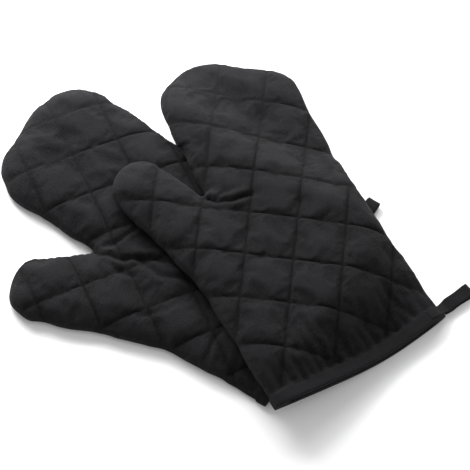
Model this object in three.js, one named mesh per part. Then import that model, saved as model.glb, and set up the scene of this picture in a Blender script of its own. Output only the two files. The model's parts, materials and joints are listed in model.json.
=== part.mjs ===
import * as THREE from "three";

// A pair of quilted oven mitts, one laid across the other. Millimetres, +Z up,
// standing on z = 0 and centred on the vertical axis.

// Sizes that drive the pair
const MITT_LENGTH = 310; // cuff corners to fingertips
const CUFF_WIDTH = 171; // across the flat cuff
const CUFF_BOW = 5; // how far the middle of the cuff hangs below its corners
const HALF_SPACE = 4; // half the height of the hand space
const CUFF_SPACE = 3.8; // half the height of the hand space at the cuff
const WADDING = 4; // padding between outer and inner cloth
const CUFF_WADDING = 1; // the padding at the cuff
const PUFF_REACH = 32; // a face is at full thickness this far in from the seam
const SHELL = 0.8; // outer cloth
const LINING = 0.6; // inner cloth
const GAP = 0.3; // between neighbouring layers
const CLOTHS = LINING + GAP + GAP + SHELL;
const HALF_PUFF = HALF_SPACE + WADDING + CLOTHS; // half a mitt's thickness at its middle
const HALF_CUFF = CUFF_SPACE + CUFF_WADDING + CLOTHS; // at the cuff, without the binding
const SEAM_WIDTH = 4; // bare margin outside the padding
const SEAM_DROP = 5; // the side seam lies this far below the middle plane
const TAPE = 0.8; // thickness of the binding and loop tape
const TAPE_WIDTH = 10;
const LOOP_LENGTH = 32; // how far the hanging loop stands out from the cuff
const LOWER_LOOP_LENGTH = 41; // the lower loop is pulled out straighter
const LOOP_EYE = 4.6; // free height inside the loop
const UPPER_LOOP_LEAN = 8; // degrees towards the fingers
const LOWER_LOOP_LEAN = -8;
const THUMB_FOLD = 50.6; // degrees, direction of the fold at the thumb's root
const FINGER_FOLD = 212; // the fingers fold here, above the cuff corners
const FOLD_GAP = 1.2;
const NOTCH_STEP = 10; // first padding point beyond the crotch
const STACK_GAP = 1.2; // upper mitt over lower mitt
const DRAPE = 62; // the upper mitt comes down to the floor over this distance
const LOWER_TURN = 29.9; // degrees, lower mitt against the upper one
const LOWER_ACROSS = -10.5; // lower cuff middle from the upper one
const LOWER_ALONG = 59.4;

const WIDE = CUFF_WIDTH / 171;
const LONG = MITT_LENGTH / 310;

// Pattern corners with their rounding, clockwise from the thumb side of the cuff:
// waist, thumb outside, thumb inside, crotch, finger inside, top, outside, waist
const UPPER_PATTERN = [
  [-87, 0, 0], [-77, 128, 260], [-95, 250, 24], [-50, 261, 20], [-27, 188, 2.5],
  [-9, 310, 46], [49, 311, 46], [105, 262, 26], [84, 122, 250], [84, 0, 0],
];
const LOWER_PATTERN = [
  [-88, 0, 0], [-78, 98, 200], [-111, 230, 24], [-63, 245, 22], [-25, 186, 3],
  [-5, 301, 42], [88, 299, 50], [108, 270, 28], [83, 96, 260], [84, 0, 0],
];

const flat = (x, y) => new THREE.Vector2(x, y);
const mix = (a, b, t) => a + (b - a) * t;
const radians = (a) => (a * Math.PI) / 180;

function smooth(t) {
  const k = Math.min(1, Math.max(0, t));
  return k * k * (3 - 2 * k);
}

function meet(a, b) {
  const apart = b.from.clone().sub(a.from);
  const t = apart.cross(b.way) / a.way.cross(b.way);
  return a.from.clone().addScaledVector(a.way, t);
}

// The rounded outline from cuff corner to cuff corner, moved inwards by `inset`
function rim(corners, inset) {
  const lines = corners.slice(1).map((end, i) => {
    const way = flat(end[0] - corners[i][0], end[1] - corners[i][1]).normalize();
    const from = flat(corners[i][0] + way.y * inset, corners[i][1] - way.x * inset);
    return { from, way };
  });
  const level = { from: flat(0, 0), way: flat(1, 0) };
  const points = [meet(lines[0], level)];
  const middleIndex = [0];
  for (let i = 1; i < corners.length - 1; i++) {
    const before = lines[i - 1].way;
    const after = lines[i].way;
    const side = Math.sign(before.cross(after));
    const radius = corners[i][2] + side * inset;
    const turn = Math.acos(before.dot(after));
    const start = meet(lines[i - 1], lines[i]);
    start.addScaledVector(before, -radius * Math.tan(turn / 2));
    const centre = flat(start.x - before.y * side * radius, start.y + before.x * side * radius);
    const steps = 2 * Math.ceil(turn / radians(14));
    middleIndex.push(points.length + steps / 2);
    for (let k = 0; k <= steps; k++) {
      points.push(start.clone().rotateAround(centre, (side * turn * k) / steps));
    }
  }
  points.push(meet(lines[lines.length - 1], level));
  const reach = [0];
  for (let i = 1; i < points.length; i++) {
    reach.push(reach[i - 1] + points[i].distanceTo(points[i - 1]));
  }
  return { points, reach, end: reach[reach.length - 1], middle: middleIndex.map((i) => reach[i]) };
}

function pointAt(outline, s) {
  const { points, reach } = outline;
  let i = 1;
  while (i < points.length - 1 && reach[i] < s) i++;
  const t = (s - reach[i - 1]) / (reach[i] - reach[i - 1]);
  return points[i - 1].clone().lerp(points[i], t);
}

// First place between two positions on the outline where a straight line cuts it
function crossing(outline, line, from, to) {
  const { points, reach } = outline;
  const off = (p) => line.way.cross(p.clone().sub(line.from));
  for (let i = 1; i < points.length; i++) {
    if (reach[i] < from || reach[i - 1] > to) continue;
    const a = off(points[i - 1]);
    const b = off(points[i]);
    if (a * b > 0) continue;
    const s = mix(reach[i - 1], reach[i], a / (a - b));
    if (s >= from && s <= to) return s;
  }
  throw new Error("a fold line misses the outline");
}

function foot(points, p) {
  let best = Infinity;
  let nearest = null;
  for (let i = 1; i < points.length; i++) {
    const way = points[i].clone().sub(points[i - 1]);
    const t = p.clone().sub(points[i - 1]).dot(way) / way.lengthSq();
    const q = points[i - 1].clone().addScaledVector(way, Math.min(1, Math.max(0, t)));
    const d = q.distanceTo(p);
    if (d < best) {
      best = d;
      nearest = q;
    }
  }
  return nearest;
}

const walk = (outline, from, to, shares) => shares.map((t) => pointAt(outline, mix(from, to, t)));
const straight = (a, b, shares) => shares.map((t) => a.clone().lerp(b, t));

function scaled(pattern) {
  return pattern.map(([x, y, r]) => [x * WIDE, y * LONG, r * Math.min(WIDE, LONG)]);
}

// Everything about one mitt that the layers share
function makeMitt(pattern) {
  const corners = scaled(pattern);
  const outer = rim(corners, 0);
  const inner = rim(corners, SEAM_WIDTH);
  const left = outer.points[0].x;
  const right = outer.points[outer.points.length - 1].x;
  const cuffAt = (x) => {
    const t = (2 * x - left - right) / (right - left);
    return -CUFF_BOW * (1 - t * t);
  };
  return { outer, inner, left, right, cuffAt };
}

function foldLines(mitt) {
  const crotch = pointAt(mitt.outer, mitt.outer.middle[4]);
  const way = flat(Math.cos(radians(THUMB_FOLD)), Math.sin(radians(THUMB_FOLD)));
  const thumb = (shift) => ({
    from: flat(crotch.x - way.y * shift, crotch.y + way.x * shift),
    way,
  });
  const fingers = (shift) => ({ from: flat(0, FINGER_FOLD * LONG + shift), way: flat(1, 0) });
  return { thumb, fingers };
}

// A four-sided patch filled from its edges, with seam strips outside some of them
function patch(bottom, top, left, right, across, up, hem = []) {
  const columns = across.length;
  const points = [...hem];
  const rows = up.length + (hem.length ? 1 : 0);
  up.forEach((v, j) => {
    across.forEach((u, i) => {
      const p = flat(0, 0);
      p.addScaledVector(bottom[i], 1 - v).addScaledVector(top[i], v);
      p.addScaledVector(left[j], 1 - u).addScaledVector(right[j], u);
      p.addScaledVector(bottom[0], -(1 - u) * (1 - v));
      p.addScaledVector(bottom[columns - 1], -u * (1 - v));
      p.addScaledVector(top[0], -(1 - u) * v).addScaledVector(top[columns - 1], -u * v);
      points.push(p);
    });
  });
  const faces = [];
  for (let j = 0; j + 1 < rows; j++) {
    for (let i = 0; i + 1 < columns; i++) {
      const k = j * columns + i;
      faces.push([k, k + 1, k + columns + 1, k + columns]);
    }
  }
  return { points, faces, padded: points.length, columns, rows };
}

// A strip beside the padding: `inside` are patch indices met clockwise
function addStrip(plan, outer, inside, first, last) {
  const outside = inside.map((k, n) => {
    if (n === 0) return first;
    return n === inside.length - 1 ? last : foot(outer.points, plan.points[k]);
  });
  const start = plan.points.length;
  plan.points.push(...outside);
  for (let n = 0; n + 1 < inside.length; n++) {
    plan.faces.push([start + n, inside[n], inside[n + 1], start + n + 1]);
  }
  return start;
}

const HAND_ACROSS = [0, 0.08, 0.2, 0.33, 0.43, 0.53, 0.65, 0.78, 0.92, 1];
const HAND_UP = [0, 0.13, 0.3, 0.48, 0.66, 0.83, 1];
const FINGERS_ACROSS = [0, 0.12, 0.3, 0.5, 0.7, 0.88, 1];
const FINGERS_UP = [0, 0.28, 0.54, 0.76, 0.9, 1];
const THUMB_ACROSS = [0, 0.22, 0.5, 0.78, 1];
const THUMB_UP = [0, 0.26, 0.5, 0.7, 0.86, 1];

const rowOf = (plan, j) => Array.from({ length: plan.columns }, (_, i) => j * plan.columns + i);
const columnOf = (plan, i) => Array.from({ length: plan.rows }, (_, j) => j * plan.columns + i);

function handPlan(mitt) {
  const { outer, inner, cuffAt } = mitt;
  const folds = foldLines(mitt);
  const half = FOLD_GAP / 2;
  const at = (outline) => {
    const m = outline.middle;
    return {
      heel: crossing(outline, folds.thumb(-half), 0, m[2]),
      crotch: crossing(outline, folds.thumb(-half), m[3], m[5]),
      near: crossing(outline, folds.fingers(-half), m[4], m[5]),
      far: crossing(outline, folds.fingers(-half), m[7], outline.end),
    };
  };
  const inside = at(inner);
  const outside = at(outer);
  const corner = (outline, s) => {
    const x = pointAt(outline, s).x;
    return flat(x, cuffAt(x));
  };
  const level = (a, b, rise) => {
    return HAND_ACROSS.map((u) => flat(mix(a, b, u), cuffAt(mix(a, b, u)) + rise));
  };
  const hem = level(corner(inner, 0).x, corner(inner, inner.end).x, 0);
  const [riseLeft, riseRight] = [TAPE_WIDTH, inner.end - TAPE_WIDTH];
  const bottom = level(pointAt(inner, riseLeft).x, pointAt(inner, riseRight).x, TAPE_WIDTH);
  const p = (s) => pointAt(inner, s);
  const top = [
    ...straight(p(inside.heel), p(inside.crotch), [0, 0.3, 0.64]),
    ...walk(inner, inside.crotch, inside.near, [0, NOTCH_STEP / (inside.near - inside.crotch)]),
    ...straight(p(inside.near), p(inside.far), [0, 0.28, 0.58, 0.87, 1]),
  ];
  const left = walk(inner, riseLeft, inside.heel, HAND_UP);
  left[0] = bottom[0];
  const right = walk(inner, riseRight, inside.far, HAND_UP);
  right[0] = bottom[bottom.length - 1];
  const plan = patch(bottom, top, left, right, HAND_ACROSS, HAND_UP, hem);
  const o = (s) => pointAt(outer, s);
  const last = HAND_ACROSS.length - 1;
  const up = columnOf(plan, 0);
  const down = columnOf(plan, last).reverse();
  const notch = rowOf(plan, HAND_UP.length).slice(3, 6);
  plan.leftStrip = addStrip(plan, outer, up, corner(outer, 0), o(outside.heel));
  plan.rightStrip = addStrip(plan, outer, down, o(outside.far), corner(outer, outer.end));
  addStrip(plan, outer, notch, o(outside.crotch), o(outside.near));
  return plan;
}

function tipPlan(mitt, line, start, turnA, turnB, finish, across, up) {
  const { outer, inner } = mitt;
  const from = (outline) => crossing(outline, line, ...start(outline));
  const to = (outline) => crossing(outline, line, ...finish(outline));
  const m = inner.middle;
  const a = from(inner);
  const b = to(inner);
  const bottom = straight(pointAt(inner, a), pointAt(inner, b), across);
  const top = walk(inner, m[turnA], m[turnB], across);
  const left = walk(inner, a, m[turnA], up);
  const right = walk(inner, b, m[turnB], up);
  const plan = patch(bottom, top, left, right, across, up);
  const round = [
    ...columnOf(plan, 0),
    ...rowOf(plan, up.length - 1).slice(1, -1),
    ...columnOf(plan, across.length - 1).reverse(),
  ];
  addStrip(plan, outer, round, pointAt(outer, from(outer)), pointAt(outer, to(outer)));
  return plan;
}

function fingersPlan(mitt) {
  const line = foldLines(mitt).fingers(FOLD_GAP / 2);
  const start = (o) => [o.middle[4], o.middle[5]];
  const finish = (o) => [o.middle[7], o.end];
  return tipPlan(mitt, line, start, 5, 7, finish, FINGERS_ACROSS, FINGERS_UP);
}

function thumbPlan(mitt) {
  const line = foldLines(mitt).thumb(FOLD_GAP / 2);
  const start = (o) => [0, o.middle[2]];
  const finish = (o) => [o.middle[3], o.middle[5]];
  return tipPlan(mitt, line, start, 2, 3, finish, THUMB_ACROSS, THUMB_UP);
}

// Half thickness, half hand space and middle height at a place on the mitt
function section(mitt, p) {
  const d = foot(mitt.outer.points, p).distanceTo(p);
  const body = smooth((p.y - mitt.cuffAt(p.x) - TAPE_WIDTH) / 45);
  const swell = Math.sqrt(1 - (1 - Math.min(1, d / PUFF_REACH)) ** 2);
  const edge = GAP / 2 + SHELL;
  const puff = edge + (mix(HALF_CUFF, HALF_PUFF, body) - edge) * swell;
  const opening = smooth((d - SEAM_WIDTH) / mix(12, 28, body));
  const space = GAP / 2 + (mix(CUFF_SPACE, HALF_SPACE, body) - GAP / 2) * opening;
  const rest = mix(HALF_CUFF + GAP + TAPE, HALF_PUFF, body);
  return { puff, space, middle: rest - SEAM_DROP * (1 - swell) + mitt.lift(p) };
}

const LAYERS = {
  shell: (s) => [s.puff - SHELL, s.puff],
  wadding: (s) => [s.space + LINING + GAP, s.puff - SHELL - GAP],
  lining: (s) => [s.space, s.space + LINING],
};

function solid(corners, triangles) {
  const geometry = new THREE.BufferGeometry();
  const flatList = corners.flatMap((p) => [p.x, p.y, p.z]);
  geometry.setAttribute("position", new THREE.Float32BufferAttribute(flatList, 3));
  geometry.setIndex(triangles.flat());
  geometry.computeVertexNormals();
  return geometry;
}

// One layer of one face: the plan raised to two heights and closed at its edges
function layer(plan, heights, hasSeam) {
  const count = hasSeam ? plan.points.length : plan.padded;
  const faces = plan.faces.filter((f) => f.every((k) => k < count));
  const flatFaces = faces.flatMap(([a, b, c, d]) => {
    const p = plan.points;
    const short = p[a].distanceTo(p[c]) <= p[b].distanceTo(p[d]);
    return short ? [[a, b, c], [a, c, d]] : [[a, b, d], [b, c, d]];
  });
  const corners = [];
  for (const side of [0, 1]) {
    for (let k = 0; k < count; k++) {
      corners.push(new THREE.Vector3(plan.points[k].x, plan.points[k].y, heights[k][side]));
    }
  }
  const open = new Map();
  for (const [a, b, c] of flatFaces) {
    for (const [from, to] of [[a, b], [b, c], [c, a]]) {
      const back = `${to} ${from}`;
      if (open.has(back)) open.delete(back);
      else open.set(`${from} ${to}`, [from, to]);
    }
  }
  const triangles = [];
  for (const [a, b, c] of flatFaces) {
    triangles.push([a + count, b + count, c + count], [a, c, b]);
  }
  for (const [from, to] of open.values()) {
    triangles.push([from, to, to + count], [from, to + count, from + count]);
  }
  return solid(corners, triangles);
}

// A closed band: each station holds the same number of section points
function band(stations) {
  const n = stations[0].length;
  const triangles = [];
  stations.forEach((_, i) => {
    const next = (i + 1) % stations.length;
    for (let k = 0; k < n; k++) {
      const l = (k + 1) % n;
      const [a, b, c, d] = [i * n + k, next * n + k, next * n + l, i * n + l];
      triangles.push([a, c, b], [a, d, c]);
    }
  });
  return solid(stations.flat(), triangles);
}

// The binding: tape folded over the cuff edge, all the way round
function binding(mitt, plan) {
  const columns = plan.columns;
  const edge = GAP / 2 + SHELL;
  const cut = (k) => {
    const p = plan.points[k];
    return { p, ...section(mitt, p) };
  };
  const row = (j) => rowOf(plan, j).map(cut);
  const rows = [row(0), row(1)];
  const leftEnd = [cut(plan.leftStrip), cut(plan.leftStrip + 1)];
  const rightLast = plan.rightStrip + plan.rows - 1;
  const rightEnd = [cut(rightLast), cut(rightLast - 1)];
  const pocket = (j, from, to) => {
    const t = 0.62;
    const a = rows[j][from];
    const b = rows[j][to];
    return {
      p: a.p.clone().lerp(b.p, t),
      space: mix(a.space, b.space, t),
      middle: mix(a.middle, b.middle, t),
    };
  };
  const pockets = [
    [pocket(0, 0, 1), pocket(1, 0, 1)],
    [pocket(0, columns - 1, columns - 2), pocket(1, columns - 1, columns - 2)],
  ];
  const inn = GAP;
  const out = GAP + TAPE;
  const place = (p, x, y, z) => new THREE.Vector3(p.x + x, p.y + y, z);
  // face is 1 on the back of the hand and -1 on the palm; end is -1 left, 1 right
  const column = (i, face) => {
    const outerZ = (j, o) => rows[j][i].middle + face * (rows[j][i].puff + o);
    const end = i === 0 ? pockets[0] : i === columns - 1 ? pockets[1] : null;
    const source = (j) => (end ? end[j] : rows[j][i]);
    const tuck = i === 0 ? 1 : i === columns - 1 ? -1 : 0;
    const innerZ = (j, o) => source(j).middle + face * (source(j).space - o);
    const p = rows.map((r) => r[i].p);
    const q = [source(0).p, source(1).p];
    return [
      place(p[1], 0, 0, outerZ(1, inn)),
      place(p[1], 0, 0, outerZ(1, out)),
      place(p[0], 0, -out, outerZ(0, out)),
      place(q[0], tuck * TAPE, -out, innerZ(0, out)),
      place(q[1], tuck * TAPE, 0, innerZ(1, out)),
      place(q[1], 0, 0, innerZ(1, inn)),
      place(q[0], 0, -inn, innerZ(0, inn)),
      place(p[0], 0, -inn, outerZ(0, inn)),
    ];
  };
  const corner = (end, face, over) => {
    const cuts = end < 0 ? leftEnd : rightEnd;
    const tuck = end < 0 ? pockets[0] : pockets[1];
    const share = over ? 0.62 : 0.3;
    const x = (o) => (over ? 0 : end * o);
    const z = (j, o) => cuts[j].middle + face * (edge + (over ? o : 0));
    const innerZ = (j, o) => tuck[j].middle + face * (tuck[j].space - o) * share;
    return [
      place(cuts[1].p, x(inn), 0, z(1, inn)),
      place(cuts[1].p, x(out), 0, z(1, out)),
      place(cuts[0].p, x(out), -out, z(0, out)),
      place(tuck[0].p, -end * TAPE, -out, innerZ(0, out)),
      place(tuck[1].p, -end * TAPE, 0, innerZ(1, out)),
      place(tuck[1].p, 0, 0, innerZ(1, inn)),
      place(tuck[0].p, 0, -inn, innerZ(0, inn)),
      place(cuts[0].p, x(inn), -inn, z(0, inn)),
    ];
  };
  const stations = [corner(-1, 1, false), corner(-1, 1, true)];
  for (let i = 0; i < columns; i++) stations.push(column(i, 1));
  stations.push(corner(1, 1, true), corner(1, 1, false));
  stations.push(corner(1, -1, false), corner(1, -1, true));
  for (let i = columns - 1; i >= 0; i--) stations.push(column(i, -1));
  stations.push(corner(-1, -1, true), corner(-1, -1, false));
  return band(stations);
}

// The hanging loop: a folded tape standing out from the outer cuff corner
function hangingLoop(mitt) {
  const lean = radians(mitt.loopLean);
  const x = mitt.right + GAP + TAPE + GAP + TAPE_WIDTH * Math.max(0, Math.sin(lean));
  const end = section(mitt, flat(mitt.right, 0.01));
  const high = LOOP_EYE / 2 + TAPE;
  const tip = x + mitt.loopLength - high;
  const arc = [90, 54, 18, -18, -54, -90].map(radians);
  // closed outline of the folded tape; `opened` is half its height at the root
  const outline = (r, root, opened) => [
    [root, opened],
    [x + 8, r],
    ...arc.map((a) => [tip + r * Math.cos(a), r * Math.sin(a)]),
    [x + 8, -r],
    [root, -opened],
  ];
  const outside = outline(high, x, 1);
  const inside = outline(LOOP_EYE / 2, x + 3.4, 0.35);
  const from = 1;
  const centre = Math.max(end.middle, high + 0.1);
  const point = ([px, pz], y) => {
    const p = flat(px, y).rotateAround(flat(x, from), lean);
    return new THREE.Vector3(p.x, p.y, centre + pz);
  };
  return band(outside.map((o, k) => [
    point(o, from),
    point(inside[k], from),
    point(inside[k], from + TAPE_WIDTH),
    point(o, from + TAPE_WIDTH),
  ]));
}

const COLOURS = { shell: 0x2f2f31, wadding: 0xd8d4c8, lining: 0x3a3a3c, tape: 0x1f1f21 };

function mesh(name, geometry, kind) {
  const roughness = kind === "wadding" ? 1 : 0.92;
  const colour = COLOURS[kind];
  const material = new THREE.MeshStandardMaterial({ color: colour, roughness, metalness: 0 });
  material.name = kind;
  const made = new THREE.Mesh(geometry, material);
  made.name = name;
  return made;
}

function buildMitt(side, mitt, place) {
  const plans = { hand: handPlan(mitt), fingers: fingersPlan(mitt), thumb: thumbPlan(mitt) };
  const made = [];
  for (const [part, plan] of Object.entries(plans)) {
    const cuts = plan.points.map((p) => section(mitt, p));
    for (const [kind, span] of Object.entries(LAYERS)) {
      const back = cuts.map((s) => span(s).map((h) => s.middle + h));
      const palm = cuts.map((s) => span(s).map((h) => s.middle - h).reverse());
      const hasSeam = kind === "shell";
      made.push(mesh(`${side}_back_${kind}_${part}`, layer(plan, back, hasSeam), kind));
      made.push(mesh(`${side}_palm_${kind}_${part}`, layer(plan, palm, hasSeam), kind));
    }
  }
  made.push(mesh(`${side}_cuff_binding`, binding(mitt, plans.hand), "tape"));
  made.push(mesh(`${side}_hanging_loop`, hangingLoop(mitt), "tape"));
  for (const m of made) m.geometry.applyMatrix4(place);
  return made;
}

const lower = makeMitt(LOWER_PATTERN);
const upper = makeMitt(UPPER_PATTERN);
const turn = radians(LOWER_TURN);
const lowerPlace = new THREE.Matrix4().makeRotationZ(turn);
lowerPlace.setPosition(LOWER_ACROSS * WIDE, LOWER_ALONG * LONG, 0);

// How far a place on the upper mitt lies outside the lower one and its loop
function clearOf(p) {
  const q = flat(p.x - LOWER_ACROSS * WIDE, p.y - LOWER_ALONG * LONG);
  q.rotateAround(flat(0, 0), -turn);
  const tip = lower.right + LOOP_LENGTH;
  const edge = [...lower.outer.points, flat(tip, 3), flat(tip, -6), flat(lower.right, -4)];
  for (const t of [0.75, 0.5, 0.25]) {
    const x = mix(lower.left, lower.right, t);
    edge.push(flat(x, lower.cuffAt(x) - GAP - TAPE));
  }
  edge.push(lower.outer.points[0]);
  let crossings = 0;
  for (let i = 1; i < edge.length; i++) {
    const [a, b] = [edge[i - 1], edge[i]];
    if (a.y > q.y === b.y > q.y) continue;
    if (q.x < mix(a.x, b.x, (q.y - a.y) / (b.y - a.y))) crossings++;
  }
  return crossings % 2 ? 0 : foot(edge, q).distanceTo(q);
}

lower.lift = () => 0;
lower.loopLean = LOWER_LOOP_LEAN;
lower.loopLength = LOWER_LOOP_LENGTH;
upper.loopLean = UPPER_LOOP_LEAN;
upper.loopLength = LOOP_LENGTH;
const lifted = 2 * HALF_PUFF + STACK_GAP;
upper.lift = (p) => {
  const bound = flat(p.x, Math.max(p.y, upper.cuffAt(p.x) + TAPE_WIDTH));
  return lifted * (1 - smooth((clearOf(bound) - 4) / DRAPE));
};

const pair = [
  ...buildMitt("lower", lower, lowerPlace),
  ...buildMitt("upper", upper, new THREE.Matrix4()),
];
const bounds = new THREE.Box3();
for (const m of pair) {
  m.geometry.computeBoundingBox();
  bounds.union(m.geometry.boundingBox);
}
const middle = bounds.getCenter(new THREE.Vector3());
const group = new THREE.Group();
group.name = "oven_mitt_pair";
for (const m of pair) {
  m.geometry.translate(-middle.x, -middle.y, -bounds.min.z);
  group.add(m);
}

export default group;
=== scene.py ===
import bpy
import json
import math
import numpy as np
from mathutils import Matrix, Vector
from mathutils.geometry import delaunay_2d_cdt
from mathutils.kdtree import KDTree


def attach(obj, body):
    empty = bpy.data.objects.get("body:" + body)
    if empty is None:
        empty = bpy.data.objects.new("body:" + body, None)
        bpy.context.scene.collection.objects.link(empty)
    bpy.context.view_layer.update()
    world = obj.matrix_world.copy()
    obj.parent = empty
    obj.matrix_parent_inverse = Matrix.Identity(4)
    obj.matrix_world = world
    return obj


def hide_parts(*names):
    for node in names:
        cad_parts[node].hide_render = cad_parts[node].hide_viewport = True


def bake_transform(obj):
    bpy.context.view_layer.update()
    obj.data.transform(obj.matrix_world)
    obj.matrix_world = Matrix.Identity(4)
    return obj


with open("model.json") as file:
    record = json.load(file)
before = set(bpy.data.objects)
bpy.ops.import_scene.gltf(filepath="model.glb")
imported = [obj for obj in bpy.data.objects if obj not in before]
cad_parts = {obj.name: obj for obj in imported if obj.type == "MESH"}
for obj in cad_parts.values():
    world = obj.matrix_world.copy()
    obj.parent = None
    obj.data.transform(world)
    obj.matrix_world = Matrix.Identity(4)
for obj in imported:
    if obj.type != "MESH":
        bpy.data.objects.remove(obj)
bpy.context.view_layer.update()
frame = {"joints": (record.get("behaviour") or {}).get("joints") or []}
joints = {j["name"]: j for j in frame["joints"]}

# ---------------------------------------------------------------- sizes, millimetres
HALF_PUFF = 10.0  # half the thickness of a mitt at its middle
HALF_CUFF = 6.8
HALF_SPACE = 4.0  # half the height of the hand space
CUFF_SPACE = 3.8
PUFF_REACH = 32.0  # full thickness is reached this far from the side seam
CUFF_BOW = 5.0
SEAM_DROP = 5.0
SEAM_WIDTH = 4.0
SHELL = 0.8
LINING = 0.6
GAP = 0.3
TAPE = 0.8
TAPE_WIDTH = 10.0
STACK_GAP = 1.2
DRAPE = 62.0
FOLD_AT = (40.0, 212.0)  # a point on the finger fold in each mitt's own plan
WARP_SQUARE = 41.0  # sides of a quilting square
WEFT_SQUARE = 40.0
SEAM_SHIFT = 0.45  # the lower mitt's seams are out of step with its thumb
FLATTEN = 1.8  # the cuff's back is pressed down by twice this
LOOP_LENGTH = {"lower": 41.0, "upper": 32.0}
LOOP_WIDTH = 11.5
LOOP_EYE = 4.6
NET = 2.0  # spacing of the cloth net
VALLEY = 2.6  # a quilting seam pulls the cloth in this far
WEFT_START = 33.6  # where the weft seams are counted from
SWELL_GROWTH = 0.022  # share by which the cloth grows as it billows
SWELL_PRESSURE = 1.6
SWELL_FRAMES = 12
SWELL_CAP = 1.1  # no point of the cloth billows further than this
HEM_HOLD = 9.0  # the cloth is held this far up from the cuff
PROUD = 0.5  # the cover may stand this far off its plain section
OFF_FLOOR = 0.15
CREASE_FADE = 14.0
LINING_ROOM = 1.15  # space left between the layers and the cover
WADDING_ROOM = 0.35
LAYER_ROOM = 0.45
LEAST_WADDING = 0.15
SEARCH = 4.2  # how far round a point the cover's height is looked up
FOLD_ZONE = 13.0  # half the span of the finger fold; it is worked out, but nothing bends
THUMB_ZONE = (0.5, 24.0)  # start and end of the thumb's fold span from its seam; worked out, but nothing bends
BINDING_COLUMNS, BINDING_ROWS = 260, 15
# how far up from the cuff's edge each row of the binding lies, outside to inside
BINDING_RISES = [
    8.4, 7.9, 6.8, 5.2, 3.4, 1.5, -0.5, -0.9, -1.0, -0.9, -0.5, 1, 2, 3, 4, 5,
]
BINDING_STAND = 0.42  # the binding stands this far off the cover
TAPE_SEAM = 7.2  # the binding's stitches run this far up from the edge
TACK_STITCHES = 7
STITCH = 0.5
UPPER_SHAPE = [
    (-87, 0, 0), (-77, 128, 260), (-95, 250, 24), (-50, 261, 20), (-27, 188, 2.5),
    (-9, 314, 48), (53, 318, 48), (108, 266, 30), (84, 122, 250), (84, 0, 0),
]
LOWER_SHAPE = [
    (-88, 0, 0), (-78, 98, 200), (-111, 230, 24), (-61, 246, 21), (-25, 186, 3),
    (-7, 305, 42), (91, 301, 50), (116, 268, 32), (83, 96, 260), (84, 0, 0),
]
WARP = math.radians(50.6)  # the two quilting directions
WEFT = math.radians(-41.5)
ACROSS_WARP = np.array([-math.sin(WARP), math.cos(WARP)])
ACROSS_WEFT = np.array([-math.sin(WEFT), math.cos(WEFT)])


def smooth(t):
    t = np.clip(t, 0, 1)
    return t * t * (3 - 2 * t)


def mix(a, b, t):
    return a + (b - a) * t


def hashed(n):
    """A repeatable value from 0 to 1 for each whole number."""
    v = np.sin(np.asarray(n, float) * 127.1 + 11.7) * 43758.5453
    return v - np.floor(v)


def waves(p, size, seed, count=7):
    """Smooth irregular swells of about one size over flat points."""
    total = np.zeros(len(p))
    for k in range(count):
        angle = 2 * math.pi * hashed(seed * 31 + k)
        length = size * (0.7 + 0.8 * hashed(seed * 57 + k + 3))
        way = np.array([math.cos(angle), math.sin(angle)])
        total += np.sin(2 * math.pi * (p @ way) / length + 6.28 * hashed(seed * 91 + k + 7))
    return total / math.sqrt(count)


# ---------------------------------------------------------------- the mitt's plan
def outline(corners, step=5.0):
    """The rounded edge from cuff corner to cuff corner, clockwise."""
    points = [np.array(corners[0][:2], float)]
    middles = {}
    for i in range(1, len(corners) - 1):
        here = np.array(corners[i][:2], float)
        before = here - np.array(corners[i - 1][:2], float)
        after = np.array(corners[i + 1][:2], float) - here
        before /= np.linalg.norm(before)
        after /= np.linalg.norm(after)
        side = np.sign(before[0] * after[1] - before[1] * after[0])
        turn = math.acos(np.clip(before @ after, -1, 1))
        radius = corners[i][2]
        start = here - before * radius * math.tan(turn / 2)
        centre = start + side * radius * np.array([-before[1], before[0]])
        steps = max(4, 2 * math.ceil(turn / math.radians(step) / 2))
        for k in range(steps + 1):
            a = side * turn * k / steps
            arm = start - centre
            c, s = math.cos(a), math.sin(a)
            points.append(centre + [arm[0] * c - arm[1] * s, arm[0] * s + arm[1] * c])
            if k == steps // 2:
                middles[i] = points[-1]
    points.append(np.array(corners[-1][:2], float))
    return np.array(points), middles


def resample(line, pitch):
    gaps = np.linalg.norm(np.diff(line, axis=0), axis=1)
    reach = np.concatenate([[0], np.cumsum(gaps)])
    count = max(2, int(round(reach[-1] / pitch)) + 1)
    at = np.linspace(0, reach[-1], count)
    return np.column_stack([np.interp(at, reach, line[:, k]) for k in range(line.shape[1])])


def nearest(points, line):
    """Distance from each point to an open line, and the nearest place on it."""
    best = np.full(len(points), 1e9)
    place = np.zeros_like(points)
    for a, b in zip(line[:-1], line[1:]):
        way = b - a
        t = np.clip(((points - a) @ way) / max(way @ way, 1e-12), 0, 1)
        q = a + t[:, None] * way
        d = np.linalg.norm(points - q, axis=1)
        closer = d < best
        best[closer] = d[closer]
        place[closer] = q[closer]
    return best, place


def inside(points, loop):
    hit = np.zeros(len(points), bool)
    for a, b in zip(loop, np.roll(loop, -1, axis=0)):
        if a[1] == b[1]:
            continue
        spans = (a[1] > points[:, 1]) != (b[1] > points[:, 1])
        x = a[0] + (b[0] - a[0]) * (points[:, 1] - a[1]) / (b[1] - a[1])
        hit ^= spans & (points[:, 0] < x)
    return hit


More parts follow.
